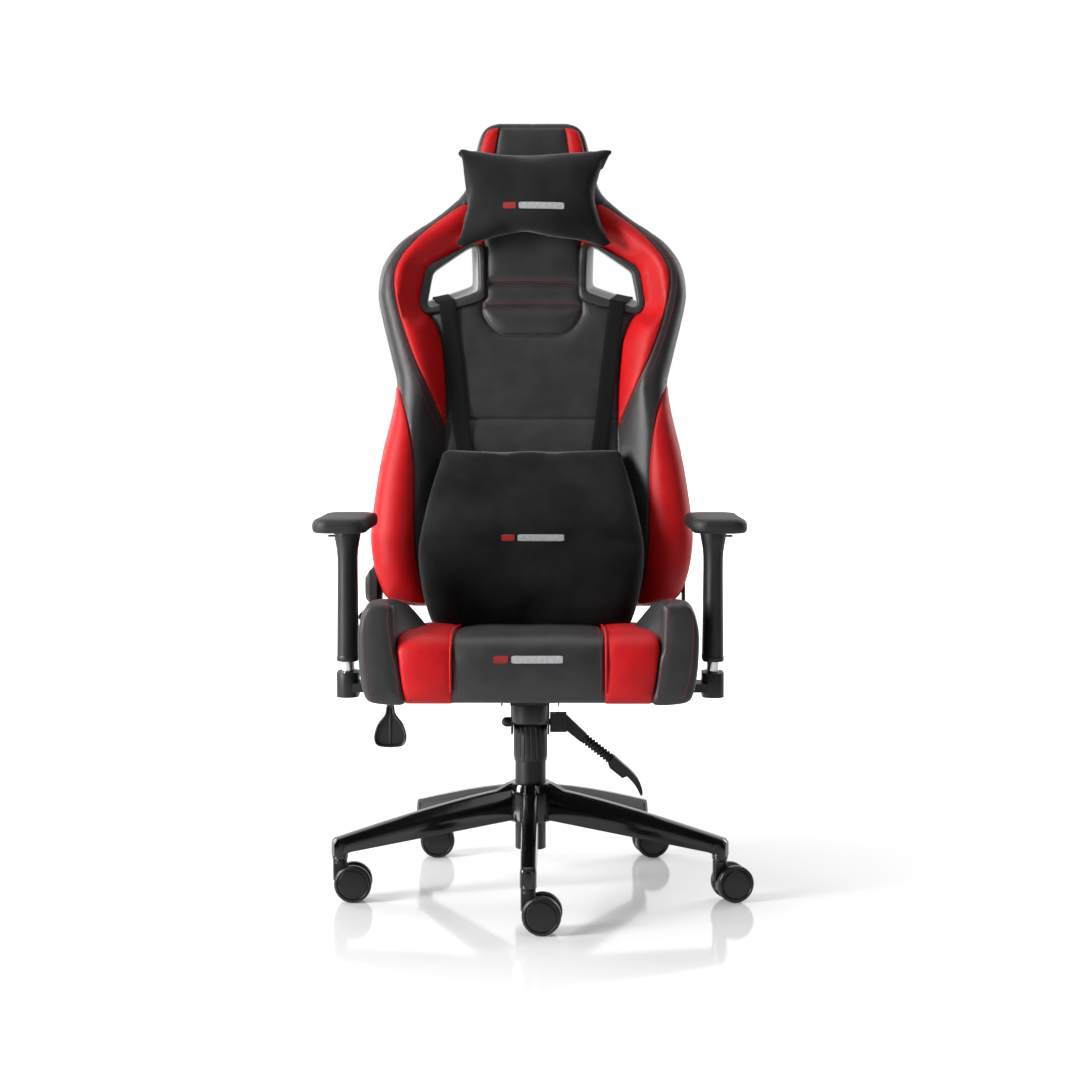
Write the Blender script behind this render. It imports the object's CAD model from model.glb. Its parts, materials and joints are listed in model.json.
"""A gaming chair: leather, velvet, moulded plastic and steel over its CAD frame."""

import json
from math import cos, exp, pi, radians, sin, tan

import bmesh
import bpy
import numpy as np
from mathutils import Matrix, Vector
from mathutils.bvhtree import BVHTree
from mathutils.geometry import delaunay_2d_cdt


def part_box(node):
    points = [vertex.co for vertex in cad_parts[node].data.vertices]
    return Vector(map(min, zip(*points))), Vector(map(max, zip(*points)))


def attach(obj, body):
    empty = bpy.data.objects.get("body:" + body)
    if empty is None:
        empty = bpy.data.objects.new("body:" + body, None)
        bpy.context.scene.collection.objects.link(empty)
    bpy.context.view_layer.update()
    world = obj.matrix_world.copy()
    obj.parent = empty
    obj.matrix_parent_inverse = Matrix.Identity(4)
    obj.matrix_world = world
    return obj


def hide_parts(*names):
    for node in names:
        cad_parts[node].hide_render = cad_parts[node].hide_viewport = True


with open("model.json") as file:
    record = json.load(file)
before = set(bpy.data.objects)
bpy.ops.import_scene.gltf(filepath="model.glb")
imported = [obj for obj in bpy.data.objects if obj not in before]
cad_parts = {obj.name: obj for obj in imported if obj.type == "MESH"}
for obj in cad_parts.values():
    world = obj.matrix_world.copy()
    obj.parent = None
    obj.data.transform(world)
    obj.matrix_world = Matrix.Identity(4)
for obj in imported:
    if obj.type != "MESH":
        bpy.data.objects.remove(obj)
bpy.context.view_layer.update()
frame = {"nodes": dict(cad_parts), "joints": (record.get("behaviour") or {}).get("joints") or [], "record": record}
scene = bpy.context.scene
nodes = frame["nodes"]
joints = {j["name"]: j for j in frame["joints"]}
MM = 0.001
SIDES = (1, "right"), (-1, "left")
WELD, NEEDLE = 2e-6, 1e-7  # m: points this close are one, edges this short go
LEAN = radians(10)
PIVOT = joints["back_recline"]["pos_m"]


# ---- curves and distances in a plane ---------------------------------------

def smooth(points, rounds=3, closed=False):
    """Chaikin's corner cutting."""
    p = np.asarray(points, float)
    for _ in range(rounds):
        a, b = (p, np.roll(p, -1, 0)) if closed else (p[:-1], p[1:])
        cut = np.stack([a * 0.75 + b * 0.25, a * 0.25 + b * 0.75], 1).reshape(-1, p.shape[1])
        p = cut if closed else np.vstack([p[:1], cut, p[-1:]])
    return p


def spline(points, n=4, closed=False):
    """A smooth line through the points, with n steps between each two."""
    p = np.asarray(points, float)
    q = np.vstack([p[-1:], p, p[:2]]) if closed else np.vstack([p[:1], p, p[-1:]])
    out = []
    for a, b, c, d in zip(q[:-3], q[1:-2], q[2:-1], q[3:]):
        for k in range(n):
            t = k / n
            out.append(0.5 * (2 * b + (c - a) * t + (2 * a - 5 * b + 4 * c - d) * t * t
                              + (3 * b - a - 3 * c + d) * t ** 3))
    return np.array(out if closed else out + [p[-1]])


def resample(points, step=None, count=None, closed=False):
    p = np.asarray(points, float)
    if closed:
        p = np.vstack([p, p[:1]])
    run = np.concatenate([[0], np.cumsum(np.linalg.norm(np.diff(p, axis=0), axis=1))])
    n = count or max(2, int(round(run[-1] / step)) + (0 if closed else 1))
    at = np.linspace(0, run[-1], n + 1)[:-1] if closed else np.linspace(0, run[-1], n)
    return np.stack([np.interp(at, run, p[:, k]) for k in range(p.shape[1])], 1)


def normals(points, closed=False):
    """Unit normals to the right of the direction of travel."""
    p = np.asarray(points, float)
    t = np.roll(p, -1, 0) - np.roll(p, 1, 0) if closed else np.gradient(p, axis=0)
    t /= np.linalg.norm(t, axis=1)[:, None] + 1e-12
    return np.stack([t[:, 1], -t[:, 0]], 1)


def inside(poly, points):
    x, y = points[:, 0], points[:, 1]
    hit = np.zeros(len(points), bool)
    for (x0, y0), (x1, y1) in zip(poly, np.roll(poly, -1, 0)):
        crosses = (y0 > y) != (y1 > y)
        with np.errstate(divide="ignore", invalid="ignore"):
            hit ^= crosses & (x < (x1 - x0) * (y - y0) / (y1 - y0) + x0)
    return hit


def distance(points, lines):
    """From each point to the nearest of the polylines."""
    best = np.full(len(points), 1e9)
    for line in lines:
        for a, b in zip(line[:-1], line[1:]):
            ab = b - a
            t = np.clip(((points - a) @ ab) / max(ab @ ab, 1e-9), 0, 1)
            best = np.minimum(best, np.linalg.norm(points - a - t[:, None] * ab, axis=1))
    return best


def radial(poly, centre, count):
    """The polygon's boundary seen from a centre, at even angles."""
    p = np.asarray(poly, float) - centre
    q = np.roll(p, -1, 0)
    out = []
    for k in range(count):
        d = np.array([cos(2 * pi * k / count), sin(2 * pi * k / count)])
        e = q - p
        den = d[0] * e[:, 1] - d[1] * e[:, 0]
        den[np.abs(den) < 1e-12] = 1e-12
        t = (p[:, 0] * e[:, 1] - p[:, 1] * e[:, 0]) / den
        u = (p[:, 0] * d[1] - p[:, 1] * d[0]) / den
        t[(u < -1e-6) | (u > 1 + 1e-6) | (t < 0)] = 1e9
        out.append(centre + d * t.min())
    return np.array(out)


def grow(loop, by):
    """A counter-clockwise loop, moved outwards."""
    return loop + normals(loop, True) * by


def outward(loop):
    """Unit normals of a loop of either direction, pointing away from its middle."""
    n = normals(loop, True)
    return n if np.sum(n * (loop - loop.mean(0))) > 0 else -n


def at_height(loop, z):
    """A plane loop lifted to a height, or to one height for each point."""
    return np.column_stack([loop, np.broadcast_to(z, len(loop))])


def circle(count):
    """Points on a unit circle."""
    a = np.arange(count) * 2 * pi / count
    return np.column_stack([np.cos(a), np.sin(a)])


def there_and_back(half):
    """A line of (across, up) pairs, then the same with up reversed, as one loop."""
    return half + [(x, -z) for x, z in half[::-1]]


# ---- meshes ----------------------------------------------------------------

def back(p):
    """Across, up the back and forward of its middle, in mm, to the row frame."""
    p = np.asarray(p, float) * MM
    x, v, w = p[..., 0], p[..., 1], p[..., 2]
    return np.stack([x, PIVOT[1] + v * sin(LEAN) - w * cos(LEAN),
                     PIVOT[2] + v * cos(LEAN) + w * sin(LEAN)], -1)


def loft(rings, cap=True, around=False):
    """Closed rings of one length, joined in order. around joins the last to the first."""
    rings = np.asarray(rings, float)
    m, n = rings.shape[:2]
    verts = rings.reshape(-1, 3)
    faces = []
    for i in range(m if around else m - 1):
        a, b = i * n, (i + 1) % m * n
        faces += [(a + k, a + (k + 1) % n, b + (k + 1) % n, b + k) for k in range(n)]
    if cap and not around:
        for a, order in ((0, -1), ((m - 1) * n, 1)):
            c = len(verts)
            verts = np.vstack([verts, verts[a:a + n].mean(0)])
            faces += [(a + k, a + (k + 1) % n, c)[::order] for k in range(n)]
    return verts, faces


def merge(parts):
    verts, faces, start = [], [], 0
    for v, f in parts:
        verts.append(np.asarray(v, float))
        faces += [tuple(i + start for i in face) for face in f]
        start += len(v)
    return np.vstack(verts), faces


def tube(points, radius, sides=8):
    """A round bar along a 3-D path, with domed ends."""
    p = np.asarray(points, float)
    t = np.gradient(p, axis=0)
    t /= np.linalg.norm(t, axis=1)[:, None]
    side = np.cross(t[0], (0, 0, 1) if abs(t[0][2]) < 0.9 else (1, 0, 0))
    rings, sizes, way = [], np.broadcast_to(radius, len(p)).astype(float), circle(sides)
    for c, d, r in zip(p, t, sizes):
        side = side - d * (side @ d)
        side /= np.linalg.norm(side)
        rings.append(c + r * (way[:, :1] * side + way[:, 1:] * np.cross(d, side)))
    first, last = rings[0], rings[-1]
    dome = [(0.55, 0.82), (0.9, 0.45)]
    head = [p[0] + (first - p[0]) * k - t[0] * sizes[0] * h for h, k in dome][::-1]
    tail = [p[-1] + (last - p[-1]) * k + t[-1] * sizes[-1] * h for h, k in dome]
    return loft(head + rings + tail)


def lathe(profile, sides, around=False):
    """Turned about Z: [(radius, height)] in mm from bottom to top, or all the way around."""
    ring = circle(sides)
    return loft([np.column_stack([ring * r, np.full(sides, z)]) * MM for r, z in profile], around=around)


def ribbon(points, across, width=28, thick=1.5):
    """A flat strap along a path. across is the direction of its width."""
    p = np.asarray(points, float)
    t = np.gradient(p, axis=0)
    t /= np.linalg.norm(t, axis=1)[:, None]
    a = np.broadcast_to(np.asarray(across, float), p.shape)
    a = a - t * np.sum(a * t, 1)[:, None]
    a /= np.linalg.norm(a, axis=1)[:, None]
    up = np.cross(t, a)
    h, k = width / 2, thick / 2
    rim = there_and_back([(-h, -k * 0.5), (-h + k, -k), (-h / 2, -k), (0, -k), (h / 2, -k), (h - k, -k),
                          (h, -k * 0.5)])
    return loft([[c + a[i] * x + up[i] * z for x, z in rim] for i, c in enumerate(p)])


def arrays(mesh):
    """A mesh's points and faces."""
    return np.array([tuple(v.co) for v in mesh.vertices]), [tuple(p.vertices) for p in mesh.polygons]


def new_mesh(name, verts, faces):
    mesh = bpy.data.meshes.new(name)
    mesh.from_pydata([tuple(v) for v in verts], [], faces)
    return mesh


def repair(mesh, weld):
    """Points welded, or needle faces dissolved, and all faces turned outwards."""
    bm = bmesh.new()
    bm.from_mesh(mesh)
    if weld:
        bmesh.ops.remove_doubles(bm, verts=bm.verts, dist=WELD)
    else:
        bmesh.ops.dissolve_degenerate(bm, edges=bm.edges, dist=NEEDLE)
    bmesh.ops.recalc_face_normals(bm, faces=bm.faces)
    bm.to_mesh(mesh)
    bm.free()


def clean(verts, faces):
    """The mesh welded, with its faces outwards, as arrays."""
    mesh = new_mesh("tmp", verts, faces)
    repair(mesh, weld=True)
    out = arrays(mesh)
    bpy.data.meshes.remove(mesh)
    return out


def mirrored(verts, faces):
    """The same mesh on the left, in row-frame coordinates."""
    return np.asarray(verts) * (-1, 1, 1), [f[::-1] for f in faces]


def both(verts, faces):
    """The right-hand mesh and its mirror image."""
    return (verts, faces), mirrored(verts, faces)


def add(name, verts, faces, slot, body, replaces=(), sharp=0):
    """A new piece on a body. Where sharp is given, edges over so many degrees stay sharp."""
    mesh = new_mesh(name, verts, faces)
    repair(mesh, weld=False)
    mesh.polygons.foreach_set("use_smooth", [True] * len(mesh.polygons))
    mesh.materials.append(MATS[slot])
    obj = bpy.data.objects.new(name, mesh)
    scene.collection.objects.link(obj)
    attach(obj, body)
    if replaces:
        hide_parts(*replaces)
    if sharp:
        with bpy.context.temp_override(object=obj, active_object=obj, selected_objects=[obj],
                                       selected_editable_objects=[obj]):
            bpy.ops.object.shade_smooth_by_angle(angle=radians(sharp))
    return obj


# ---- materials -------------------------------------------------------------

TEXTURES = {  # the node, its option, and the output that lifts the surface
    "noise": ("Noise", None, "Fac"), "cells": ("Voronoi", ("feature", "DISTANCE_TO_EDGE"), "Distance"),
    "weave": ("Wave", ("bands_direction", "DIAGONAL"), "Fac"), "rows": ("Wave", ("bands_direction", "Z"), "Fac")}
BUMP_STRENGTH = 0.6


def material(name, colour, spread, rough, grain=(), sockets=()):
    """A procedural finish. colour varies by spread over large patches, rough is a range, and grain
    is a list of (texture, scale per metre, bump height in m). sockets are constants on the shader."""
    mat = bpy.data.materials.new(name)
    mat.use_nodes = True
    tree = mat.node_tree
    shader = tree.nodes["Principled BSDF"]
    for key, value in dict(sockets).items():
        shader.inputs[key].default_value = value
    new, link = tree.nodes.new, tree.links.new
    where = new("ShaderNodeTexCoord").outputs["Object"]
    share, scale = spread
    cloud = new("ShaderNodeTexNoise")
    cloud.inputs["Scale"].default_value = scale
    cloud.inputs["Detail"].default_value = 6
    link(where, cloud.inputs["Vector"])
    ramp = new("ShaderNodeValToRGB")
    for element, place, way in zip(ramp.color_ramp.elements, (0.3, 0.7), (-1, 1)):
        element.position = place
        element.color = (*[min(1, c * (1 + way * share)) for c in colour], 1)
    link(cloud.outputs["Fac"], ramp.inputs["Fac"])
    link(ramp.outputs["Color"], shader.inputs["Base Color"])
    worn = new("ShaderNodeMapRange")
    worn.inputs["To Min"].default_value, worn.inputs["To Max"].default_value = rough
    link(cloud.outputs["Fac"], worn.inputs["Value"])
    link(worn.outputs["Result"], shader.inputs["Roughness"])
    last = None
    for kind, scale, height in grain:
        node, option, output = TEXTURES[kind]
        tex = new(f"ShaderNodeTex{node}")
        if option:
            setattr(tex, *option)
        else:
            tex.inputs["Detail"].default_value = 4
        tex.inputs["Scale"].default_value = scale
        link(where, tex.inputs["Vector"])
        bump = new("ShaderNodeBump")
        bump.inputs["Strength"].default_value = BUMP_STRENGTH
        bump.inputs["Distance"].default_value = height
        link(tex.outputs[output], bump.inputs["Height"])
        if last:
            link(last.outputs["Normal"], bump.inputs["Normal"])
        last = bump
    if last:
        link(last.outputs["Normal"], shader.inputs["Normal"])
    return mat


LEATHER = [("cells", 520, 0.0004), ("noise", 900, 0.0002), ("noise", 60, 0.0006)]
SPECULAR, SHEEN = "Specular IOR Level", "Sheen Weight"
FINISHES = {
    "pu_black": ((0.021, 0.021, 0.0225), (0.18, 30), (0.36, 0.5), LEATHER, {SPECULAR: 0.42}),
    "pu_red": ((0.47, 0.004, 0.0065), (0.1, 30), (0.42, 0.54), LEATHER, {SPECULAR: 0.24}),
    "velvet": ((0.0085, 0.0085, 0.009), (0.8, 11), (0.7, 0.95), [("noise", 1400, 0.0006), ("noise", 300, 0.0005)],
               {SHEEN: 0.3, "Sheen Roughness": 0.35, SPECULAR: 0.15}),
    "webbing": ((0.0022, 0.0022, 0.0026), (0.3, 300), (0.65, 0.85),
                [("weave", 420, 0.0004), ("noise", 900, 0.0002)], {SPECULAR: 0.2}),
    "thread_red": ((0.33, 0.010, 0.012), (0.2, 400), (0.45, 0.6), [("weave", 1500, 0.0002)]),
    "thread_silver": ((0.55, 0.55, 0.57), (0.18, 300), (0.3, 0.45), [("rows", 700, 0.0004)], {"Metallic": 0.35}),
    "base_black": ((0.0025, 0.0025, 0.0028), (0.2, 20), (0.1, 0.16), [("noise", 60, 0.0002)],
                   {"Coat Weight": 0.3, "Coat Roughness": 0.08}),
    "caster_black": ((0.005, 0.005, 0.0055), (0.25, 60), (0.26, 0.36), [("noise", 700, 0.0002)]),
    "arm_black": ((0.0075, 0.0075, 0.008), (0.2, 40), (0.38, 0.48), [("noise", 1200, 0.00025)]),
    "pad_black": ((0.007, 0.007, 0.0075), (0.2, 40), (0.5, 0.62), [("cells", 700, 0.0002), ("noise", 1400, 0.0002)]),
    "bezel_grey": ((0.021, 0.021, 0.0225), (0.12, 40), (0.38, 0.5), [("noise", 1500, 0.0003)]),
    "throat_grey": ((0.3, 0.3, 0.3), (0.2, 300), (0.5, 0.6), [("noise", 1300, 0.0004)]),
    "cover_grey": ((0.010, 0.010, 0.011), (0.15, 40), (0.42, 0.54), [("noise", 1500, 0.0003)]),
    "steel_black": ((0.007, 0.007, 0.0075), (0.3, 60), (0.38, 0.52), [("noise", 1600, 0.0003)], {"Metallic": 0.1}),
    "steel_bright": ((0.72, 0.72, 0.74), (0.08, 80), (0.14, 0.26), [("rows", 300, 0.00004)], {"Metallic": 1.0}),
    "steel_zinc": ((0.48, 0.49, 0.5), (0.15, 120), (0.28, 0.42), [("noise", 500, 0.0001)], {"Metallic": 1.0}),
    "bushing_white": ((0.62, 0.62, 0.58), (0.08, 60), (0.4, 0.5), [("noise", 800, 0.0001)]),
    "plywood": ((0.5, 0.33, 0.17), (0.25, 40), (0.6, 0.75), [("rows", 300, 0.0002)]),
}
MATS = {name: material(name, *finish) for name, finish in FINISHES.items()}


# ---- stage, light and camera -----------------------------------------------

def smooth_step(tree, value, low, high, start, stop):
    """From start to stop as the value goes from low to high."""
    node = tree.nodes.new("ShaderNodeMapRange")
    node.interpolation_type = "SMOOTHSTEP"
    for key, number in (("From Min", low), ("From Max", high), ("To Min", start), ("To Max", stop)):
        node.inputs[key].default_value = number
    tree.links.new(value, node.inputs["Value"])
    return node.outputs[0]


def sum_or_product(tree, operation, a, b):
    node = tree.nodes.new("ShaderNodeMath")
    node.operation = operation
    tree.links.new(a, node.inputs[0])
    tree.links.new(b, node.inputs[1])
    return node.outputs[0]


def camera_ray(tree):
    return tree.nodes.new("ShaderNodeLightPath").outputs["Is Camera Ray"]


def build_floor(reach=30.0):
    floor = new_mesh("floor", [(-reach, -reach, 0), (reach, -reach, 0), (reach, reach, 0), (-reach, reach, 0)],
                     [(0, 1, 2, 3)])
    gloss = material("floor_gloss", (0.78, 0.78, 0.78), (0.01, 2), (0.06, 0.09),
                     sockets={"Emission Color": (1, 1, 1, 1)})
    floor.materials.append(gloss)
    # The far floor fades to white, as a lit studio sweep does
    tree = gloss.node_tree
    far = tree.nodes.new("ShaderNodeVectorMath")
    far.operation = "LENGTH"
    tree.links.new(tree.nodes.new("ShaderNodeTexCoord").outputs["Object"], far.inputs[0])
    fade = smooth_step(tree, far.outputs["Value"], 0.3, 3.2, 0.1, 1.1)
    glow = sum_or_product(tree, "MULTIPLY", fade, camera_ray(tree))
    tree.links.new(glow, tree.nodes["Principled BSDF"].inputs["Emission Strength"])
    obj = bpy.data.objects.new("floor", floor)
    scene.collection.objects.link(obj)


def build_world():
    """A bright backdrop behind the chair and above it, a dim studio in front, and white to the camera."""
    world = bpy.data.worlds.new("studio")
    scene.world = world
    world.use_nodes = True
    tree = world.node_tree
    room, white = tree.nodes["Background"], tree.nodes.new("ShaderNodeBackground")
    room.inputs["Color"].default_value = (1, 1, 1, 1)
    white.inputs["Strength"].default_value = 1.25
    way = tree.nodes.new("ShaderNodeSeparateXYZ")
    tree.links.new(tree.nodes.new("ShaderNodeTexCoord").outputs["Generated"], way.inputs[0])
    behind = smooth_step(tree, way.outputs["Y"], 0.0, 0.45, 0.03, 0.95)
    above = smooth_step(tree, way.outputs["Z"], 0.2, 1.0, 0.0, 0.3)
    tree.links.new(sum_or_product(tree, "ADD", behind, above), room.inputs["Strength"])
    mix = tree.nodes.new("ShaderNodeMixShader")
    for k, out in enumerate((camera_ray(tree), room.outputs[0], white.outputs[0])):
        tree.links.new(out, mix.inputs[k])
    tree.links.new(mix.outputs[0], tree.nodes["World Output"].inputs["Surface"])


def build_lights():
    for name, place, width, height, power in (
            ("key", (-3.1, -1.6, 1.7), 1.2, 2.2, 215), ("fill", (2.4, -3.4, 1.5), 1.2, 1.8, 10),
            ("top", (-0.3, -0.2, 3.4), 2.6, 2.6, 22), ("rim_left", (-2.2, 1.8, 1.6), 0.7, 2.0, 34),
            ("rim_right", (2.2, 1.8, 1.6), 0.7, 2.0, 26)):
        light = bpy.data.lights.new(name, "AREA")
        light.shape, light.size, light.size_y, light.energy = "RECTANGLE", width, height, power
        lamp = bpy.data.objects.new(name, light)
        lamp.location = place
        lamp.rotation_euler = (Vector((0, 0, 0.6)) - Vector(place)).to_track_quat("-Z", "Y").to_euler()
        scene.collection.objects.link(lamp)


def build_camera():
    camera = bpy.data.cameras.new("camera")
    camera.lens, camera.sensor_width = 75.7, 36
    eye = bpy.data.objects.new("camera", camera)
    eye.location = (0.042, -3.7, 0.805)
    eye.rotation_euler = (radians(90 - 3.576), 0, radians(0.41))
    scene.collection.objects.link(eye)
    scene.camera = eye
    scene.view_settings.view_transform = "Standard"


build_floor()
build_world()
build_lights()
build_camera()


# ---- backrest --------------------------------------------------------------

HALF = spline([[205, 24], [245, 34], [263, 65], [273, 112], [274, 160], [260, 263], [240, 350],
               [233, 403], [241, 444], [263, 535], [267, 572], [260, 612], [241, 644], [215, 669],
               [162, 708], [121, 748], [108, 785], [98, 826], [93, 846], [86, 861], [75, 870], [60, 874]], 3)
OUTLINE = resample(np.vstack([[[0, 24]], HALF, [[0, 874]]]), 6)
OUTLINE[0, 0] = OUTLINE[-1, 0] = 0
HOLE_MID = np.array([138.0, 595.0])
HOLE = radial(smooth([[93, 580], [94, 570], [103, 565], [169, 543], [179, 540], [183, 548], [182, 556], [175, 596],
                      [172, 604], [165, 610], [115, 645], [104, 650], [97, 646], [95, 637]], 2, True), HOLE_MID, 96)
RIM = radial(smooth([[80, 574], [81, 558], [93, 548], [139, 538], [170, 529], [186, 528], [196, 539], [197, 554],
                     [190, 601], [184, 615], [171, 623], [108, 652], [94, 656], [83, 651], [81, 636], [81, 600]],
                    3, True), HOLE_MID, 96)
CORE_FRONT, CORE_REAR, SIDE_SEAM = 22, -42, -4
CORE, OUTWARDS, UPWARDS = CORE_FRONT - CORE_REAR, radians(11), radians(21)
SLOT_SHIFT = np.array([CORE * tan(OUTWARDS), CORE * tan(UPWARDS) / cos(OUTWARDS)])  # a slot runs at a slant

WING_OUT = smooth([[149, 330], [182, 400], [209, 461], [232, 532], [240, 586], [231, 618], [210, 648],
                   [176, 684], [129, 720], [112, 726], [97, 715], [91, 690], [85, 660]], 3)
WING_IN = smooth([[185, 548], [184, 532], [170, 517], [156, 481], [150, 410], [149, 330]], 2)
STRIP = WING_OUT[WING_OUT[:, 0] > 112][:-12]
STRIP = STRIP + normals(STRIP) * 9.5
NECK = spline([[85, 745], [84, 690], [84, 620], [86, 565], [87, 545], [86, 531], [81, 520], [72, 507.5], [61, 498],
               [50, 493.5], [39, 492.2], [25, 492], [0, 492]], 4)
LOW_RED = smooth([[236, 408], [229, 394], [211, 334], [202, 264], [201, 196], [199, 94], [178, 20]], 2)
HEAD_IN = smooth([[67, 748], [66, 800], [65, 817], [59, 856], [57, 865]], 1)
HEAD_OUT = smooth([[103, 748], [99, 780], [93, 817], [84, 852], [78, 862], [57, 865]], 2)
FOOT = np.array([[149, 330], [150, 180], [150, 20]], float)
BACK_SEAMS = {
    "wing_out": WING_OUT, "wing_in": WING_IN, "strip": STRIP, "neck": NECK, "low_red": LOW_RED,
    "neck_high": np.array([[0, 585], [85.5, 585]]), "neck_low": np.array([[0, 544], [86, 544]]),
    "centre": np.array([[0, 345], [151, 345]]), "foot": FOOT, "head_in": HEAD_IN, "head_out": HEAD_OUT,
    "head_top": np.array([[0, 865], [58, 865]]), "head_low": np.array([[67, 748], [103, 748]]),
    "shoulder": np.array([[122, 724], [134, 741]]),
}
BACK_SEAMS = {k: resample(v, 6) for k, v in BACK_SEAMS.items()}
RED_WING = np.vstack([WING_OUT, [[84, 640], [120, 600], [160, 580]], WING_IN])
RED_LOW = np.vstack([LOW_RED, [[178, 0], [320, 0], [320, 408]]])
RED_HEAD = np.vstack([HEAD_IN, HEAD_OUT[::-1]])
NECK_PAD = np.vstack([NECK, [[-5, 492], [-5, 745]]])
CENTRE_PAD = np.array([[-5, 345], [150, 345], [152, 420], [158, 481], [172, 517], [172, 540], [86, 544],
                       [86, 531], [72, 507], [50, 493], [-5, 492]], float)


def table(v, pairs):
    """The value at v, read off (place, value) pairs."""
    return np.interp(v, *zip(*pairs))


def back_front(q):
    """How far forward the front cover stands at points (across, up) of the right half."""
    q = np.atleast_2d(np.asarray(q, float))
    x, v = q[:, 0], q[:, 1]
    edge = np.interp(v, HALF[:, 1], HALF[:, 0])
    roll = table(v, [(24, 26), (60, 36), (150, 44), (300, 40), (400, 40), (520, 38), (620, 34), (700, 25), (760, 18),
                     (874, 14)])
    drop = table(v, [(24, 18), (60, 30), (150, 36), (300, 34), (620, 30), (700, 20), (760, 13), (874, 11)])
    lift = table(v, [(24, 22), (80, 44), (140, 53), (300, 52), (400, 49), (520, 46), (600, 42), (660, 30),
                     (700, 16), (740, 6), (780, 0)])
    foot = table(v, [(24, 148), (330, 148), (410, 151), (481, 156), (517, 172), (545, 190), (612, 188), (650, 150),
                     (700, 96), (760, 70)])
    t = np.clip((x - foot) / np.maximum(edge - roll - foot, 20), 0, 1)
    rise = lift * (1 - (1 - t) ** 1.55)
    from_rim = distance(q, [OUTLINE])
    u = np.clip(1 - from_rim / roll, 0, 1)
    w = CORE_FRONT + rise - drop * (1 - np.sqrt(1 - u * u))
    pad = np.full(len(q), 3.0)
    for shape, height in ((NECK_PAD, 9), (CENTRE_PAD, 6), (RED_WING, 4.5), (RED_LOW, 4), (RED_HEAD, 4)):
        pad[inside(shape, q)] = height
    # The row of stitches beside the wing is sewn through the flat cover, with no groove
    d = distance(q, [line for name, line in BACK_SEAMS.items() if name != "strip"])
    soft = 1 - np.exp(-d / 10)
    # Below the middle panel the cover swells forward
    swell = np.clip((345 - v) / 55, 0, 1) * np.clip((165 - x) / 20, 0, 1)
    w += 6 * swell * swell * (3 - 2 * swell)
    w += pad * soft * np.clip(from_rim / 12, 0, 1)
    w -= 1.4 * np.exp(-(d / 2.2) ** 2)
    # Shallow puckers beside the seams and a slow wave, level across the middle line
    e = x * x / (x + 40)
    pucker = np.sin(v * 0.43 + e * 0.31) * np.sin(v * 0.19 - e * 0.23 + 1.1)
    w += 0.35 * pucker * np.exp(-d / 14) + 0.5 * np.sin(v * 0.037 + e * 0.021) * soft
    # The cover sinks towards a belt slot's frame
    near = distance(q, [np.vstack([RIM, RIM[:1]])])
    return np.where(inside(RIM, q), np.minimum(w, 25.0), np.minimum(w, 26.5 + 1.15 * near))


def triangulate(bounds, seams, step, near=()):
    """Points and triangles between closed bounds, along the seams. near are the distances from the
    outer bound of further rows of points, and step is the spacing of the rest."""
    points, edges = [], []
    for line, closed in [(b, True) for b in bounds] + [(s, False) for s in seams]:
        start = len(points)
        points.extend(map(tuple, line))
        edges.extend((start + k, start + k + 1) for k in range(len(line) - 1))
        if closed:
            edges.append((start + len(line) - 1, start))
    outer = bounds[0]
    loops = [np.vstack([b, b[:1]]) for b in bounds]
    for s in seams:
        for gap in (2.2, 5.0):
            for side in (-1, 1):
                ring = s + normals(s) * gap * side
                free = distance(ring, seams) > gap * 0.85
                free &= (distance(ring, loops) > 1.5) & inside(outer, ring)
                points.extend(map(tuple, ring[free]))
    for gap in near:
        ring = outer - normals(outer, True) * gap
        free = (distance(ring, seams) > 1.8) & inside(outer, ring) & (distance(ring, loops) > gap * 0.8)
        points.extend(map(tuple, ring[free]))
    low, high = outer.min(0), outer.max(0)
    grid = np.array([(x + (step / 2 if j % 2 else 0), y)
                     for j, y in enumerate(np.arange(low[1] + step / 2, high[1], step * 0.87))
                     for x in np.arange(low[0] + step / 2, high[0], step)])
    free = inside(outer, grid) & (distance(grid, seams) > 5 + step * 0.4)
    free &= distance(grid, loops) > max([0.0, *near]) + step * 0.4
    points.extend(map(tuple, grid[free]))
    out = delaunay_2d_cdt([Vector(p) for p in points], edges, [], 0, 1e-4)
    flat = np.array([tuple(p) for p in out[0]])
    mid = np.array([flat[list(f)].mean(0) for f in out[2]])
    keep = inside(outer, mid)
    for b in bounds[1:]:
        keep &= ~inside(b, mid)
    return flat, [tuple(f) for f, k in zip(out[2], keep) if k]


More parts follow.
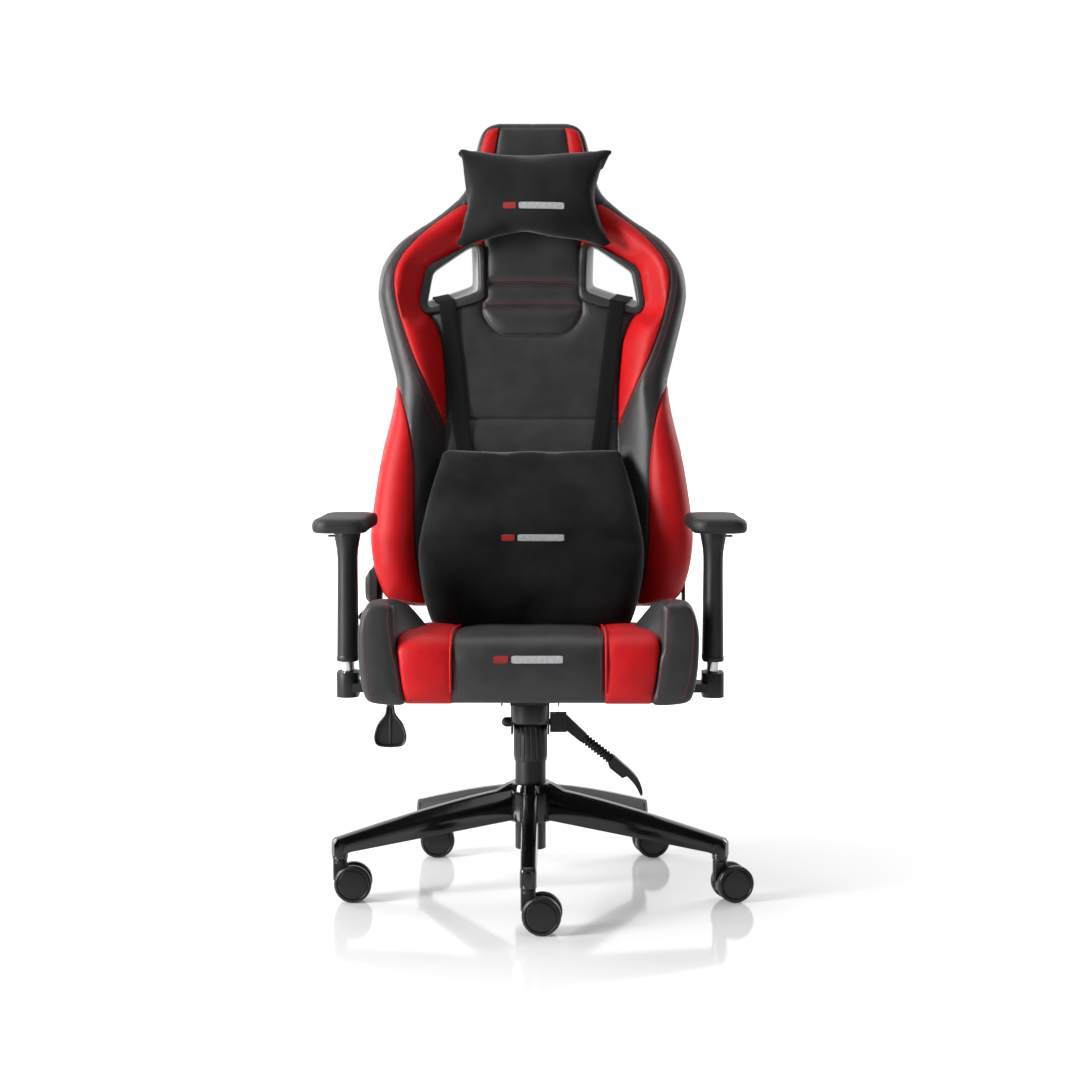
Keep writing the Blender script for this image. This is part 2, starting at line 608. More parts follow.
def back_cover():
    """The right half of the leather cover: front, side wall, rear and the way through its slot."""
    hole = grow(HOLE, 5)
    rear_hole = hole + SLOT_SHIFT
    middle = np.column_stack([np.zeros(141), np.linspace(874, 24, 143)[1:-1]])
    flat, faces = triangulate([np.vstack([OUTLINE, middle]), hole], list(BACK_SEAMS.values()), 7,
                              near=(0.7, 2.5, 5.5, 10, 16))
    parts = [(np.column_stack([flat, back_front(flat)]), faces)]
    # Rows of the side wall as (outwards, forward): to the side seam, behind it, and round to the rear
    out = normals(OUTLINE)
    out[0], out[-1] = (0, -1), (0, 1)
    rim = back_front(OUTLINE)
    rows = [(0, rim)]
    rows += [(1.2 * sin(pi * t), rim + (SIDE_SEAM - rim) * t) for t in (0.15, 0.35, 0.55, 0.75, 0.9, 0.97)]
    rows += [(-1.3, SIDE_SEAM), (0, SIDE_SEAM - 2), (0, SIDE_SEAM - 8), (0, -28)]
    rows += [(-13 * (1 - cos(radians(a))), -28 - 14 * sin(radians(a))) for a in (22, 45, 68, 90)]
    wall = [at_height(OUTLINE + out * by, w) for by, w in rows]
    n = len(rim)
    parts.append((np.vstack(wall), [(i * n + k, i * n + k + 1, (i + 1) * n + k + 1, (i + 1) * n + k)
                                    for i in range(len(wall) - 1) for k in range(n - 1)]))
    edge = wall[-1][:, :2]
    rear_seam = resample(smooth([[0, 70], [150, 76], [196, 110], [202, 260], [186, 400], [212, 560],
                                 [190, 628], [120, 690], [62, 760], [50, 830], [0, 842]], 3), 8)

    def rear(q):
        """How far back the rear panel stands, drawn in at its seam and its edge."""
        d = distance(q, [rear_seam])
        return CORE_REAR - 2.5 * (1 - np.exp(-d / 9)) * np.clip(distance(q, [edge]) / 12, 0, 1)

    inner = middle[(middle[:, 1] < edge[-1, 1]) & (middle[:, 1] > edge[0, 1])]
    flat, faces = triangulate([np.vstack([edge, inner]), rear_hole], [rear_seam], 12, near=(4,))
    parts.append((np.column_stack([flat, rear(flat)]), faces))
    parts.append(loft([at_height(hole, back_front(hole)), at_height(rear_hole, rear(rear_hole))], cap=False))
    return merge(parts)


def overlay(verts, faces, pick, height=1.3):
    """A closed leather panel over the picked faces, thickest away from its own edge."""
    chosen = [f for f, p in zip(faces, pick) if p]
    used = sorted({i for f in chosen for i in f})
    index = {v: k for k, v in enumerate(used)}
    local = [tuple(index[i] for i in f) for f in chosen]
    p = np.asarray(verts)[used]
    normal = np.zeros_like(p)
    edges = {}
    for f in local:
        n = np.cross(p[f[1]] - p[f[0]], p[f[2]] - p[f[0]])
        for i in f:
            normal[i] += n
        for a, b in zip(f, f[1:] + f[:1]):
            edges.setdefault((min(a, b), max(a, b)), []).append((a, b))
    normal /= np.linalg.norm(normal, axis=1)[:, None] + 1e-15
    border = [e[0] for e in edges.values() if len(e) == 1]
    rim = np.array(sorted({i for e in border for i in e}))
    gap = np.array([np.linalg.norm(p[rim] - q, axis=1).min() for q in p]) / MM
    top = p + normal * ((0.06 + height * (1 - np.exp(-gap / 1.6))) * MM)[:, None]
    under = p - normal * 1.0 * MM
    n = len(p)
    walls = [(b, a, a + n, b + n) for a, b in border]
    return np.vstack([top, under]), local + [tuple(i + n for i in f[::-1]) for f in local] + walls


def build_back():
    right = back_cover()
    right = back(right[0]), right[1]
    v, f = clean(*merge([right, mirrored(*right)]))
    add("backrest_cover", v, f, "pu_black", "backrest", ["back_cushion"])
    # The faces' middles across, up and forward of the back, for sorting them into panels
    y, z = v[:, 1] - PIVOT[1], v[:, 2] - PIVOT[2]
    local = np.column_stack([v[:, 0], y * sin(LEAN) + z * cos(LEAN), z * sin(LEAN) - y * cos(LEAN)]) / MM
    mid = np.array([local[list(q)].mean(0) for q in f])
    flat = np.column_stack([np.abs(mid[:, 0]), mid[:, 1]])
    wing = inside(RED_WING, flat) & (mid[:, 2] > CORE_FRONT - 8) & ~inside(grow(HOLE, 5.5), flat)
    low = inside(RED_LOW, flat) & (mid[:, 2] > SIDE_SEAM)
    head = inside(RED_HEAD, flat) & (mid[:, 2] > 0)
    for side, name in SIDES:
        here = mid[:, 0] * side > 0
        add(f"back_wing_{name}", *overlay(v, f, here & (wing | low)), "pu_red", "backrest",
                      [f"back_bolster_{name}"])
        add(f"head_stripe_{name}", *overlay(v, f, here & head), "pu_red", "backrest")


build_back()


# ---- seat ------------------------------------------------------------------

SEAT_TOP = spline([[-288, 414], [-281, 431], [-260, 442], [-215, 445], [-120, 440],
                   [0, 431], [100, 423], [190, 416], [212, 408], [220, 392]], 4)
SEAT_RING = np.vstack([[[220, 349], [220, 370]], SEAT_TOP[::-1],
                       [[-290, 400], [-290, 378], [-287, 358], [-280, 346.5], [-268, 341.5], [-250, 341], [-238, 345],
                                       [-200, 345], [200, 345]]])
SEAM_X, MID_X = 116, 195
FLARE, FLARE_Z = 0.0016, 400  # the red strip widens by this share for each mm of height


def flare(z):
    return 1 + (z - FLARE_Z) * FLARE


def seat_cushion():
    """The seat's cover, lofted across from left to right."""
    ring = resample(SEAT_RING, 7, closed=True)
    n = outward(ring)
    half = [0, 14, 28, 42, 56, 70, 82, 94, 103, 109, 112.5, 114.7, 116, 117.3, 119.5, 123, 128, 134, 143,
            153, 164, 174, 182, 188, 192, 195]
    fade = np.clip((ring[:, 1] - 344) / 10, 0, 1)[:, None]
    rings = []
    for x in [-x for x in half[:0:-1]] + half:
        d = min(abs(abs(x) - SEAM_X), abs(MID_X - abs(x)))
        puff = 6.0 * (1 - exp(-d / (12 if abs(x) > SEAM_X else 20))) - 1.2 * exp(-(d / 1.8) ** 2)
        wave = 0.5 * np.sin(ring[:, 0] * 0.05 + x * 0.03) + 0.4 * np.sin(ring[:, 1] * 0.11 - x * 0.07)
        p = ring + n * ((puff + wave * (1 - exp(-d / 12)))[:, None] - 2.5) * fade
        across = x + 0 * p[:, 1]
        if abs(x) > SEAM_X:
            across = np.sign(x) * (SEAM_X + (abs(x) - SEAM_X) * flare(p[:, 1]))
        rings.append(np.column_stack([across, p]) * MM)
    return loft(rings)


def bolster_section(y, foot):
    """The right bolster's outline across the seat, in x and z."""
    t = table(y, [(-290, 495), (-235, 497), (-120, 488), (-60, 481), (0, 471), (90, 445), (160, 426), (210, 414)])
    s = np.interp(y, SEAT_TOP[:, 0][4:], SEAT_TOP[:, 1][4:])
    h = max(t - s, 8)
    wall = [(188, 343), (190, 366), (196, 408), (201.5, s - 9)]
    lip = [(foot, s - 0.5), (foot + 0.12 * (204 - foot), s + h * 0.1), (foot + 0.4 * (204 - foot), s + h * 0.42),
           (foot + 0.8 * (204 - foot), s + h * 0.84), (205, t - 3.5)]
    k = min(1, (t - 345) / 150)
    crown = [(214, t - 0.5), (228, t), (240, t - 1.5 * k), (250, t - 11 * k), (256, t - 31 * k), (258.5, t - 52 * k)]
    side = [(257.5, 345 + (t - 345) * 0.4), (254, 345 + (t - 345) * 0.2), (248, 352), (240, 344.5),
            (226, 341.5), (205, 340)]
    return resample(spline(wall + lip + crown + side, 4, True), count=88, closed=True)


def bolster():
    """The right bolster, from its rounded front to its low rear."""
    front, turn, depth = -289, 11, 30
    spine = np.array([[221.0, 374.0], [229.0, 466.0]])
    rear_spine = np.array([[214.0, 372.0], [226.0, 384.0]])

    def shrink(ring, line, inset):
        """The section drawn in towards a line down its middle."""
        ab = line[1] - line[0]
        t = np.clip((ring - line[0]) @ ab / (ab @ ab), 0, 1)
        core = line[0] + t[:, None] * ab
        return core + (ring - core) * (1 - inset / depth)

    rings = [(front - ahead, shrink(bolster_section(front, 201.5), spine, inset))
             for ahead, inset in ((1.7, 23), (1.3, 18), (0.7, 14))]
    for a in (90, 72, 54, 36, 18, 0):
        y = front + turn * (1 - sin(radians(a)))
        rings.append((y, shrink(bolster_section(y, 201.5), spine, turn * (1 - cos(radians(a))))))
    for y in (-266, -258, -248, -236, -222, -205, -186, -166, -146, -124, -100, -76, -52, -28, -4, 22, 48, 74,
              98, 120, 142, 162, 180, 194):
        foot = table(y, [(-270, 200), (-240, 190), (-200, 180), (-140, 170), (-60, 164), (0, 166), (150, 176),
                         (190, 184)])
        rings.append((y, bolster_section(y, foot)))
    for y, inset in ((200, 0.6), (204, 2.5), (206.5, 6), (207.5, 12), (208, 24)):
        rings.append((y, shrink(bolster_section(y, 190), rear_spine, inset)))
    return loft([np.insert(r, 1, y, 1) * MM for y, r in rings])


def build_seat():
    v, f = clean(*seat_cushion())
    add("seat_cover", v, f, "pu_black", "seat", ["seat_cushion"])
    mid = np.array([v[list(q)].mean(0) for q in f]) / MM
    across = SEAM_X + (np.abs(mid[:, 0]) - SEAM_X) / flare(mid[:, 2])
    strip = (across > SEAM_X) & (across < MID_X) & (mid[:, 1] < 192)
    strip &= (mid[:, 2] > 347) | (mid[:, 1] < -262)
    # Piping down the inner edge of the strip
    path = resample(np.vstack([SEAT_TOP[::-1], [[-290.5, 405], [-290, 380], [-286, 362]]]), 6)
    out = normals(path)
    if out[len(out) // 3, 1] < 0:
        out = -out
    for (side, name), shape in zip(SIDES, both(*clean(*bolster()))):
        add(f"seat_strip_{name}", *overlay(v, f, strip & (mid[:, 0] * side > 0)), "pu_red", "seat")
        add(f"bolster_{name}", *shape, "pu_black", "seat", [f"seat_bolster_{name}"])
        line = np.insert(path + out * 1.6, 0, side * (SEAM_X + 2.0), 1)
        add(f"piping_{name}", *tube(line * MM, 2.1 * MM, 10), "pu_red", "seat")


build_seat()


# ---- belt slots and straps -------------------------------------------------

SLOT_FLOOR = np.minimum(back_front(grow(RIM, 1)), 31)
SLOT_FACE = float(np.median(SLOT_FLOOR)) + 5.5


def through(by, t, w=None):
    """A ring of a belt slot's tunnel, a share t of its way through the back."""
    return at_height(grow(HOLE, by) + SLOT_SHIFT * t, CORE_FRONT - CORE * t if w is None else w)


def bezel():
    """The moulded frame of a belt slot: a rim, a slanted tunnel and a flange behind."""
    rings = [at_height(*ring) for ring in (
        (grow(RIM, -1), SLOT_FLOOR - 7), (RIM, SLOT_FLOOR + 0.5), (grow(RIM, -0.8), SLOT_FLOOR + 3.4),
        (grow(RIM, -2.6), np.maximum(SLOT_FLOOR + 5, SLOT_FACE - 0.6)),
        (RIM * 0.6 + grow(HOLE, 3.5) * 0.4, SLOT_FACE + 0.5), (RIM * 0.25 + grow(HOLE, 3.0) * 0.75, SLOT_FACE + 0.4),
        (grow(HOLE, 2.2), SLOT_FACE - 0.2), (grow(HOLE, 0.6), SLOT_FACE - 1.6), (HOLE, SLOT_FACE - 4))]
    rings += [through(0, t) for t in (0.05, 0.25, 0.5, 0.75, 0.97)]
    rings += [through(by, 1, CORE_REAR + w)
              for by, w in ((0.6, -4), (2.4, -5.2), (8, -5.6), (11, -4.6), (12, -3), (11.6, 1))]
    rings += [through(4, t) for t in (0.9, 0.5, 0.1)]
    return loft(rings, around=True)


def throat():
    """The paler liner of a slot's tunnel."""
    ways = [(0, SLOT_FACE - 2.6), (0, None), (0.25, None), (0.5, None), (0.75, None), (1.0, None)]
    return loft([through(-0.9, *way) for way in ways] + [through(-0.05, *way) for way in ways[::-1]], around=True)


def lumbar_strap():
    """The right strap: off the pillow, up the back, over the slot's sill and down the rear."""
    path = [(109, 238, 46), (112, 262, 40), (116, 288, 34), (123, 340, 32), (133, 430, 31.5), (141.5, 500, 31.8),
            (144.5, 520, 34), (147, 540, 34.6), (148.3, 549, 33.8), (148.9, 552.3, 30), (149.6, 553.5, 22),
            (157.5, 566, -13), (162.6, 576.2, -40), (163.6, 577.5, -46), (164.2, 574, -50.5), (164.4, 562, -51.5),
            (164, 520, -50.5), (164, 450, -50), (164, 410, -50)]
    line = resample(spline(path, 6), 5)
    return ribbon(line, (0.97, -0.22, 0.0))


def build_straps():
    slots = [both(back(v), f) for v, f in (bezel(), throat())]
    for (_, name), rim, liner in zip(SIDES, *slots):
        add(f"slot_frame_{name}", *rim, "bezel_grey", "backrest", [f"belt_bezel_{name}"], sharp=40)
        piece = add(f"slot_throat_{name}", *liner, "bezel_grey", "backrest")
        piece.data.materials[0] = MATS["throat_grey"]
    strap, strap_faces = lumbar_strap()
    rear = np.column_stack([np.linspace(-166, 166, 60), np.full(60, 421.0), np.full(60, -51.6)])
    cross, cross_faces = ribbon(rear, (0, 1, 0))
    add("pillow_straps", *merge([*both(back(strap), strap_faces), (back(cross), cross_faces)]), "webbing", "backrest",
        ["lumbar_straps"], sharp=50)
    # The elastic band of the head pillow goes round the head
    loop = spline([(-96, 786, 27), (0, 786, 31), (96, 786, 27), (110, 786, 16), (112, 786, -10), (109, 786, -34),
                   (96, 786, -45), (0, 786, -47), (-96, 786, -45), (-109, 786, -34), (-112, 786, -10),
                   (-110, 786, 16)], 8, True)
    loop = resample(loop, 5, closed=True)
    t = np.roll(loop, -1, 0) - np.roll(loop, 1, 0)
    t /= np.linalg.norm(t, axis=1)[:, None]
    rim = there_and_back([(-13, -0.4), (-12, -0.7), (0, -0.7), (12, -0.7), (13, -0.4)])
    v, f = loft([[c + np.array((0, 1, 0)) * y + o * z for y, z in rim] for c, o in zip(loop, np.cross(t, (0, 1, 0)))],
                around=True)
    add("head_band", back(v), f, "webbing", "backrest", ["head_strap"], sharp=50)


build_straps()


# ---- stitching -------------------------------------------------------------

def surface_of(*names):
    """The built pieces' surface, for laying thread on."""
    verts, faces = merge([arrays(bpy.data.objects[name].data) for name in names])
    return BVHTree.FromPolygons([tuple(v) for v in verts], faces)


def drape(points, tree, lift):
    """Each point moved to the nearest place on the surface, and lifted off it by lift (m)."""
    out = []
    for p in points:
        place, normal, _, _ = tree.find_nearest(Vector(p))
        toward = Vector(p) - place
        if toward.length > 1e-6 and normal.dot(toward) < 0:
            normal = -normal
        out.append(np.array(place + normal * lift))
    return np.array(out)


STITCH_PITCH, STITCH_LENGTH, THREAD = 4.6, 3.0, 0.36  # mm; the last is the thread's radius
BEND = 0.02  # how much a stitch's ends are drawn in to its middle


def sewn(line, tree):
    """A row of stitches along a 3-D line in metres, laid on a surface."""
    run = np.concatenate([[0], np.cumsum(np.linalg.norm(np.diff(line, axis=0), axis=1))]) / MM
    parts = []
    for s in np.arange(STITCH_PITCH / 2, run[-1] - STITCH_LENGTH, STITCH_PITCH):
        at = np.array([s, s + STITCH_LENGTH / 2, s + STITCH_LENGTH])
        q = drape(np.stack([np.interp(at, run, line[:, k]) for k in range(3)], 1), tree, THREAD * 0.35 * MM)
        q[[0, 2]] -= (q[[0, 2]] - q[[1]]) * BEND
        parts.append(tube(q, THREAD * MM, 5))
    return parts


BACK_ROWS = [  # the seam, and how far to its right the row runs
    ("wing_out", -3.2), ("wing_out", 3.2), ("strip", 3), ("neck_high", 3), ("neck_high", -3), ("neck_low", 3),
    ("neck_low", -3), ("low_red", 3.2), ("low_red", -3.2), ("head_in", 3), ("head_out", -3)]
BESIDE = SEAM_X - 5
SEAT_ROWS = [
    [(194, -292, 350), (197, -292, 378), (201, -292, 404), (208, -292, 435), (212, -292, 462), (212, -290, 480),
     (214, -282, 496), (216, -262, 506), (217, -180, 500), (217, -100, 494), (217, -40, 484), (217, 20, 470),
     (216, 80, 450), (214, 140, 434), (212, 185, 422)],
    [(233, -290, 350), (241, -290, 372), (247, -290, 410), (249, -290, 440), (249, -290, 465), (247, -286, 486),
     (245, -272, 500), (246, -250, 503), (247, -180, 501), (247, -100, 499), (246, -40, 488), (245, 20, 474),
     (244, 80, 450), (242, 140, 430), (240, 185, 418)],
    [(BESIDE, y, z) for y, z in ((-294, 352), (-296, 380), (-296, 410), (-290, 440), (-262, 460), (-215, 462),
                                 (-120, 453), (0, 440), (100, 430), (190, 423))]]


def build_stitches():
    tree = surface_of("backrest_cover", "back_wing_right", "head_stripe_right")
    parts = []
    for name, offset in BACK_ROWS:
        line = BACK_SEAMS[name]
        line = line + normals(line) * offset
        line = line[(line[:, 0] > -0.5) & inside(OUTLINE, line) & ~inside(grow(RIM, 4), line)]
        # Split where points were dropped
        gaps = np.where(np.linalg.norm(np.diff(line, axis=0), axis=1) > 14)[0] + 1
        for piece in np.split(line, gaps):
            if len(piece) > 2:
                parts += sewn(back(at_height(piece, back_front(piece) + 2)), tree)
    add("back_stitches", *merge(both(*merge(parts))), "thread_red", "backrest")
    tree = surface_of("bolster_right", "seat_cover", "seat_strip_right")
    parts = [part for row in SEAT_ROWS for part in sewn(resample(spline(row, 6), 6) * MM, tree)]
    add("seat_stitches", *merge(both(*merge(parts))), "thread_red", "seat")


build_stitches()

EMBLEM_HALF, SATIN_PITCH, SATIN, SATIN_LIFT = 5.2, 1.05, 0.62, 0.6  # mm: half height, pitch, radius, lift
IN_FRONT = 0.08  # m, where the threads are carried from
BARS = ("red", -52, -30), ("silver", -25, 52)  # mm, where each bar starts and stops


def emblem(name, middle, up, piece, body):
    """A plain embroidered mark: a short red bar and a long silver one, in satin stitch."""
    middle, right, up = (np.array(k, float) for k in (middle, (1, 0, 0), up))
    ahead, tree = np.cross(right, up), surface_of(piece)

    def laid(p):
        """The point carried from in front onto the face, and lifted off it."""
        place, normal = tree.ray_cast(Vector(p + ahead * IN_FRONT), Vector(-ahead))[:2]
        if normal.dot(Vector(ahead)) < 0:
            normal = -normal
        return np.array(place + normal * SATIN_LIFT * MM)

    for colour, start, stop in BARS:
        parts = []
        for x in np.arange(start, stop, SATIN_PITCH):
            half = EMBLEM_HALF * (1 - 0.25 * exp(-min(x - start, stop - x) / 1.5))
            line = [laid(middle + right * x * MM + up * z * MM) for z in np.linspace(-half, half, 5)]
            parts.append(tube(np.array(line), SATIN * MM, 5))
        add(f"{name}_{colour}", *merge(parts), f"thread_{colour}", body)


def build_emblems():
    up = (0, sin(LEAN), cos(LEAN))
    emblem("emblem_head", back((3, 704, 105)), up, "head_cushion", "backrest")
    emblem("emblem_lumbar", back((3, 124, 170)), up, "lumbar_cushion", "backrest")
    emblem("emblem_seat", (0, -0.32, 0.411), (0, 0, 1), "seat_cover", "seat")


# ---- pillows ---------------------------------------------------------------

def inflate(verts, faces, voxel, pressure, frames, cap):
    """Cloth blown up by its own pressure, with no point moved further than cap (mm)."""
    mesh = new_mesh("tmp", np.asarray(verts) * MM, faces)
    obj = bpy.data.objects.new("tmp", mesh)
    scene.collection.objects.link(obj)
    remesh = obj.modifiers.new("remesh", "REMESH")
    remesh.mode, remesh.voxel_size = "VOXEL", voxel * MM
    view = bpy.context.evaluated_depsgraph_get()
    fine = bpy.data.meshes.new_from_object(obj.evaluated_get(view))
    obj.modifiers.clear()
    obj.data = fine
    start, faces = arrays(fine)
    cloth = obj.modifiers.new("cloth", "CLOTH")
    cloth.collision_settings.use_collision = False
    s = cloth.settings
    s.quality, s.mass, s.bending_stiffness, s.shear_stiffness = 6, 0.3, 4, 12
    s.tension_stiffness = s.compression_stiffness = 30
    s.use_pressure, s.uniform_pressure_force, s.effector_weights.gravity = True, pressure, 0
    for k in range(1, frames + 1):
        scene.frame_set(k)
    view = bpy.context.evaluated_depsgraph_get()
    move = arrays(obj.evaluated_get(view).data)[0] - start
    far = np.linalg.norm(move, axis=1)
    start = start + move * np.minimum(1, cap * MM / np.maximum(far, 1e-9))[:, None]
    obj.modifiers.clear()
    scene.frame_set(1)
    bpy.data.objects.remove(obj)
    bpy.data.meshes.remove(fine)
    bpy.data.meshes.remove(mesh)
    return start / MM, faces


def relax(verts, faces, passes, weight):
    """Wrinkles eased out: each point moves towards the mean of its neighbours."""
    pairs = np.array(sorted({(f[k], f[(k + 1) % len(f)]) for f in faces for k in range(len(f))}))
    count = np.bincount(pairs[:, 0], minlength=len(verts))[:, None]
    v = np.array(verts, float)
    for _ in range(passes):
        total = np.zeros_like(v)
        np.add.at(total, pairs[:, 0], v[pairs[:, 1]])
        v += (total / np.maximum(count, 1) - v) * weight[:, None]
    return v


def head_pillow():
    """Two flat layers of velvet sewn at the rim, then filled."""
    rim = resample(spline([[140, 90], [118, 94], [90, 96], [0, 97], [-88, 96], [-114, 94], [-134, 90], [-134, 60],
                           [-134, 0], [-138, -62], [-140, -87], [-100, -91], [0, -91], [100, -91], [139, -88],
                           [136, -62], [131, 0], [136, 60]], 4, True), 6, closed=True)
    rings = [at_height(rim * k, w) for k, w in
             ((0.01, -4), (0.5, -4.5), (0.97, -4), (1.0, 0), (0.97, 4), (0.5, 4.5), (0.01, 4))]
    v, f = inflate(*loft(rings), 5, 5, 24, 60)
    return relax(v, f, 30, 0.5 * np.clip((118 - np.abs(v[:, 0])) / 30, 0, 1)), f


def lumbar_pillow():
    """A thick block pillow, narrower at the top, with a crease across its middle."""
    rings, way = [], circle(72)
    # A rounded oblong: (share of the half width, share of the half depth)
    shape = np.sign(way) * np.abs(way) ** (0.42, 0.62)
    for v, wide, rear, front in (
            (-22, 152, 48, 92), (-21, 162, 38, 106), (-12, 170, 30, 122), (8, 177, 28, 134), (40, 185, 28, 141),
            (70, 190, 28, 142), (100, 192, 28, 141), (114, 191.5, 28, 138.5), (120, 191, 28, 137),
            (126, 190, 28, 138), (150, 185, 28, 137), (190, 175.5, 28, 127), (225, 167, 28, 112),
            (255, 161, 29, 92), (277, 157, 31, 76), (286, 155, 36, 70), (287.5, 148, 44, 62)):
        ring = shape * (wide, (front - rear) / 2) + (0, (rear + front) / 2)
        rings.append(np.insert(ring, 1, v, 1))
    v, f = inflate(*loft(rings), 6, 3, 16, 6)
    eased = 0.4 * np.clip((v[:, 1] - 250) / 20, 0, 1) * np.clip((150 - np.abs(v[:, 0])) / 20, 0, 1)
    return relax(v, f, 8, eased), f


def add_pillow(name, verts, faces, replaces):
    obj = add(name, back(verts), faces, "velvet", "backrest", replaces)
    fine = obj.modifiers.new("fine", "SUBSURF")
    fine.levels = fine.render_levels = 1


def build_pillows():
    v, f = head_pillow()
    v = v + (1, 728, 60)
    # What would sink into the back is pressed nearly flat against it
    w = v[:, 2]
    v[:, 2] = np.where(w < 29, 29 + 0.1 * (w - 29), w)
    add_pillow("head_cushion", v, f, ["head_pillow"])
    v, f = lumbar_pillow()
    v[:, 2] = np.maximum(v[:, 2], 27)
    add_pillow("lumbar_cushion", v, f, ["lumbar_pillow"])


build_pillows()
build_emblems()


# ---- armrests, casters and base --------------------------------------------

def middle_of(node):
    """A CAD node's middle and size, in mm."""
    low, high = (np.array(c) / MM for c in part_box(node))
    return (low + high) / 2, high - low


def rounded(x, y, r, count):
    """An x by y oblong with corners of radius r."""
    p = circle(count)
    return p * r + np.sign(p) * (np.abs(p) > 1e-9) * (x / 2 - r, y / 2 - r)


def build_arms():
    for _, name in SIDES:
        c, _ = middle_of(f"arm_sleeve_{name}")
        rings = [at_height(rounded(x, y, x / 2, 48) + c[:2], z) * MM for z, x, y in (
            (380, 31, 59), (380.3, 33, 61), (382, 34.2, 62.2), (386, 34.6, 62.6), (388, 34.6, 62.6),
            (388.8, 33.4, 61.4), (390, 33.2, 61.4), (430, 32.2, 61), (480, 31, 60.5), (530, 30, 60.5),
            (548, 30.2, 61), (560, 32, 62.5), (570, 35.2, 65), (578, 38.4, 67), (584, 40.4, 68), (590, 41, 68.6),
            (591.4, 40, 67.8), (592, 38, 66))]
        add(f"sleeve_{name}", *loft(rings), "arm_black", f"arm_{name}", [f"arm_sleeve_{name}"], sharp=40)
        c, size = middle_of(f"arm_pad_{name}")
        rings = []
        for inset, z in ((30, 593.4), (9, 593.2), (4, 594), (1.2, 596.5), (0.2, 600.5), (0, 605), (0.4, 609),
                         (1.8, 612.4), (4.4, 614.8), (8.5, 616), (15, 616.6), (26, 617), (36, 617.2)):
            wide, long = size[:2] - 2 * inset
            loop = rounded(wide, long, min(max(27 - inset * 0.7, 3), wide / 2 - 0.5), 96)
            loop[:, 0] *= 1 - 0.035 * np.cos(loop[:, 1] / size[1] * pi) ** 2  # a slight waist
            rings.append(at_height(loop + c[:2], z) * MM)
        add(f"pad_{name}_cover", *loft(rings), "pad_black", f"pad_{name}", [f"arm_pad_{name}"])


# Half a wheel, as (radius, distance from the fork's middle)
TYRE = [(0.5, 9.4), (20, 9.4), (27.4, 9.6), (29, 10.6), (29.8, 12.2), (30, 14.5), (30, 18), (29.7, 20.4),
        (28.9, 22.2), (27.6, 23.4), (26.2, 24.0), (24.9, 24.1), (24.3, 23.8), (24.0, 22.8), (23.6, 22.4), (0.5, 22.4)]
DISC = [(0.5, 21), (22.9, 21), (23.2, 22.9), (22.6, 23.4), (20, 23.6), (12, 24.1), (5, 24.3), (0.5, 24.4)]


def build_casters():
    for i in range(1, 6):
        c, axis = (np.array(joints[f"wheel_roll_{i}"][key]) for key in ("pos_m", "axis"))
        way = circle(56)
        way = way[:, :1] * np.cross(axis, (0, 0, 1)) + way[:, 1:] * (0, 0, 1)
        tyres, discs = ([loft([c + MM * (r * way + s * h * axis) for r, h in profile]) for s in (-1, 1)]
                        for profile in (TYRE, DISC))
        axle = tube([c - axis * 0.018, c, c + axis * 0.018], 0.004, 20)
        add(f"tyres_{i}", *merge(tyres), "caster_black", f"wheels_{i}", [f"caster_wheels_{i}"], sharp=50)
        add(f"wheel_discs_{i}", *merge(discs + [axle]), "caster_black", f"wheels_{i}", sharp=50)


HUB_END, LEG_START, LEG_END, BOSS_AT = 22, 28, 332, 320  # mm from the column's axis


def leg_section(r, t):
    """A leg's outline at radius r as (across, up). It is drawn in over the last hundredth of t."""
    u = np.clip((r - LEG_START) / (LEG_END - LEG_START), 0, 1)
    late = max(t - 0.99, 0)
    top = 168 - 68 * u ** 1.25 - late * 400
    under = np.interp(r, [LEG_START, 306, LEG_END], [117, 79.5, 71]) + late * 300
    h = 11.6 - 0.3 * u - late * 200
    e, out = 3.2, h + 0.055 * (top - under)
    right = [(h * 0.4, top + 0.5), (h - e, top), (h - e * 0.35, top - e * 0.3), (h, top - e),
             ((h + out) / 2, (top + under) / 2), (out - 0.2, under + 3), (out - 1.2, under), (out - 4, under),
             (out - 5, under + 2), (0, under + 2.4)]
    return right + [(-x, z) for x, z in right[-2::-1]]


def build_base():
    parts = []
    shares = np.concatenate([[0], np.linspace(0.02, 0.985, 26), [0.995, 1.0]])
    for k in range(5):
        a = radians(72 * k - 90)
        turn = np.array([[-sin(a), cos(a), 0], [cos(a), sin(a), 0], [0, 0, 1]])
        rings = []
        for t in shares:
            r = HUB_END + (LEG_END - HUB_END) * t
            rings.append([np.array((x, r, z)) @ turn * MM for x, z in leg_section(r, t)])
        parts.append(loft(rings))
        boss, faces = lathe([(11.6, 68), (12.6, 69), (12.8, 72), (12.8, 92), (12.2, 96), (9, 98)], 40)
        parts.append((boss + turn[1] * BOSS_AT * MM, faces))
        # Gusset from the hub's collar down to the leg
        rings = []
        for r, z in ((30, 176.5), (37, 176), (42, 173.5), (50, 169), (60, 164), (70, 158)):
            w = np.interp(r, [30, 70], [10, 9])
            rings.append([np.array((x, r, q)) @ turn * MM for x, q in
                          ((-w, 150), (-w, z - 2), (-w + 2, z), (w - 2, z), (w, z - 2), (w, 150))])
        parts.append(loft(rings))
    parts.append(lathe([(25.1, 114), (37, 114), (38.6, 116), (39, 120), (39, 160), (38, 166), (37, 170), (36.6, 173),
                        (35.4, 175.4), (33, 176.4), (27, 176.6), (25.15, 176)], 72, around=True))
    add("star_base", *merge(parts), "base_black", "base", ["base_star"], sharp=26)


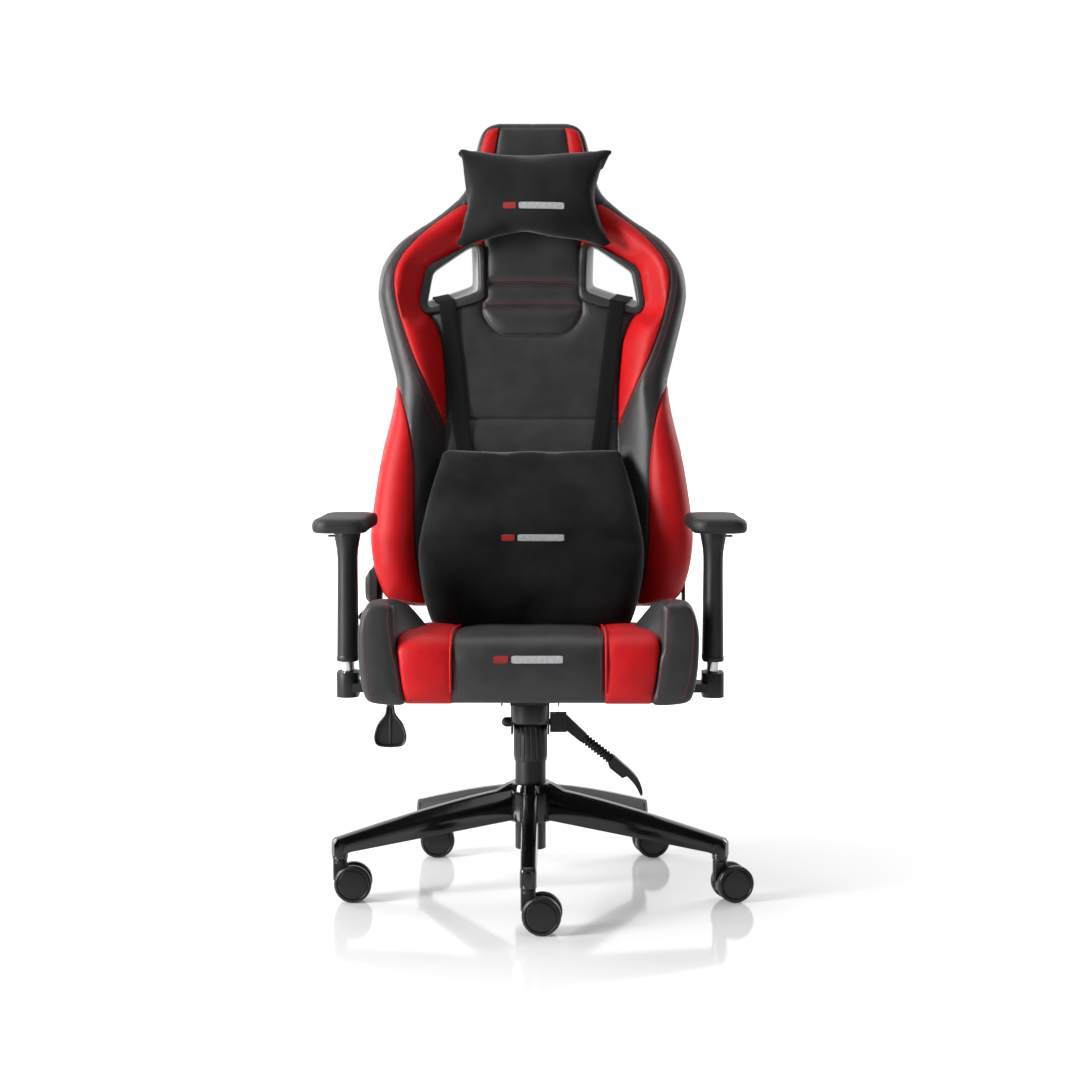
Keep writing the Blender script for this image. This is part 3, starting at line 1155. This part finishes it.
def build_paddle():
    """The tilt lock's drop-shaped grip: a raised rim round a hollow with a rib down it."""
    (cx, cy, _), _ = middle_of("lock_paddle")
    half = [(0, 313), (4.6, 313), (6.4, 309), (8, 299), (13, 291), (20, 282), (25, 268), (26, 258), (23.5, 249.5),
            (16, 245), (0, 243.6)]
    loop = resample(spline(half, 4), count=49)
    loop = np.vstack([loop[:-1], (loop * (-1, 1))[:0:-1]])
    n = outward(loop)
    rings = there_and_back([(4, 1.2), (4, 4.2), (3.4, 5.8), (1.6, 6.8), (0.2, 5.6), (0, 3)])
    body = loft([np.insert(loop - n * inset + (cx, 0), 1, cy - y, 1) * MM for inset, y in rings])
    rib = tube(np.array([(cx, cy, 250), (cx, cy, 280), (cx, cy, 306)]) * MM, np.array([2.4, 3.0, 3.6]) * MM, 14)
    add("paddle", *merge([body, rib]), "arm_black", "tilt_lock", ["lock_paddle"], sharp=40)


def build_cover():
    """The recliner's faceted housing at the foot of the back."""
    outline = smooth([[26, -24], [24, 10], [36, 29], [70, 34], [97, 18], [102, -8], [90, -30], [56, -36]], 2, True)
    mid = outline.mean(0)
    rings = []
    for x, k in ((265, 0.93), (265.4, 0.985), (266.5, 1), (270, 1), (279, 1), (280, 0.97), (285.5, 0.8),
                 (286.6, 0.76), (286.8, 0.62), (285.2, 0.58), (284.8, 0.5)):
        p = mid + (outline - mid) * k
        # The top slants down towards the outer face
        p[:, 0] = np.minimum(p[:, 0], 97 - 1.7 * max(0, x - 270))
        rings.append(np.insert(p, 0, x, 1))
    boss = [np.insert(circle(28) * r + (66, 0), 0, x, 1)
            for x, r in ((283, 8), (286.6, 8), (287, 7.4), (287, 5), (286, 4.6), (285.8, 1))]
    v, f = merge([loft(rings), loft(boss)])
    add("recline_housing", back(v) * (-1, 1, 1), f, "cover_grey", "backrest", ["recliner_cover"], sharp=22)


build_paddle()
build_cover()
build_arms()
build_casters()
build_base()


BEVEL, BEVEL_OVER = 0.0007, radians(40)  # m, and the least angle that is rounded


def carried_over():
    """CAD nodes whose shape is right take the finish of their slot."""
    slots = {p["node"]: p["material_slot"] for p in frame["record"]["subparts"]}
    for name, obj in nodes.items():
        if not obj.material_slots:
            obj.data.materials.append(None)
        for slot in obj.material_slots:
            slot.material = MATS[slots[name]]
        # The CAD faces meet at sharp edges: weld them and take the edges off
        obj.modifiers.new("weld", "WELD").merge_threshold = 1e-6
        bevel = obj.modifiers.new("bevel", "BEVEL")
        bevel.width, bevel.segments, bevel.limit_method = BEVEL, 2, "ANGLE"
        bevel.angle_limit = BEVEL_OVER


carried_over()
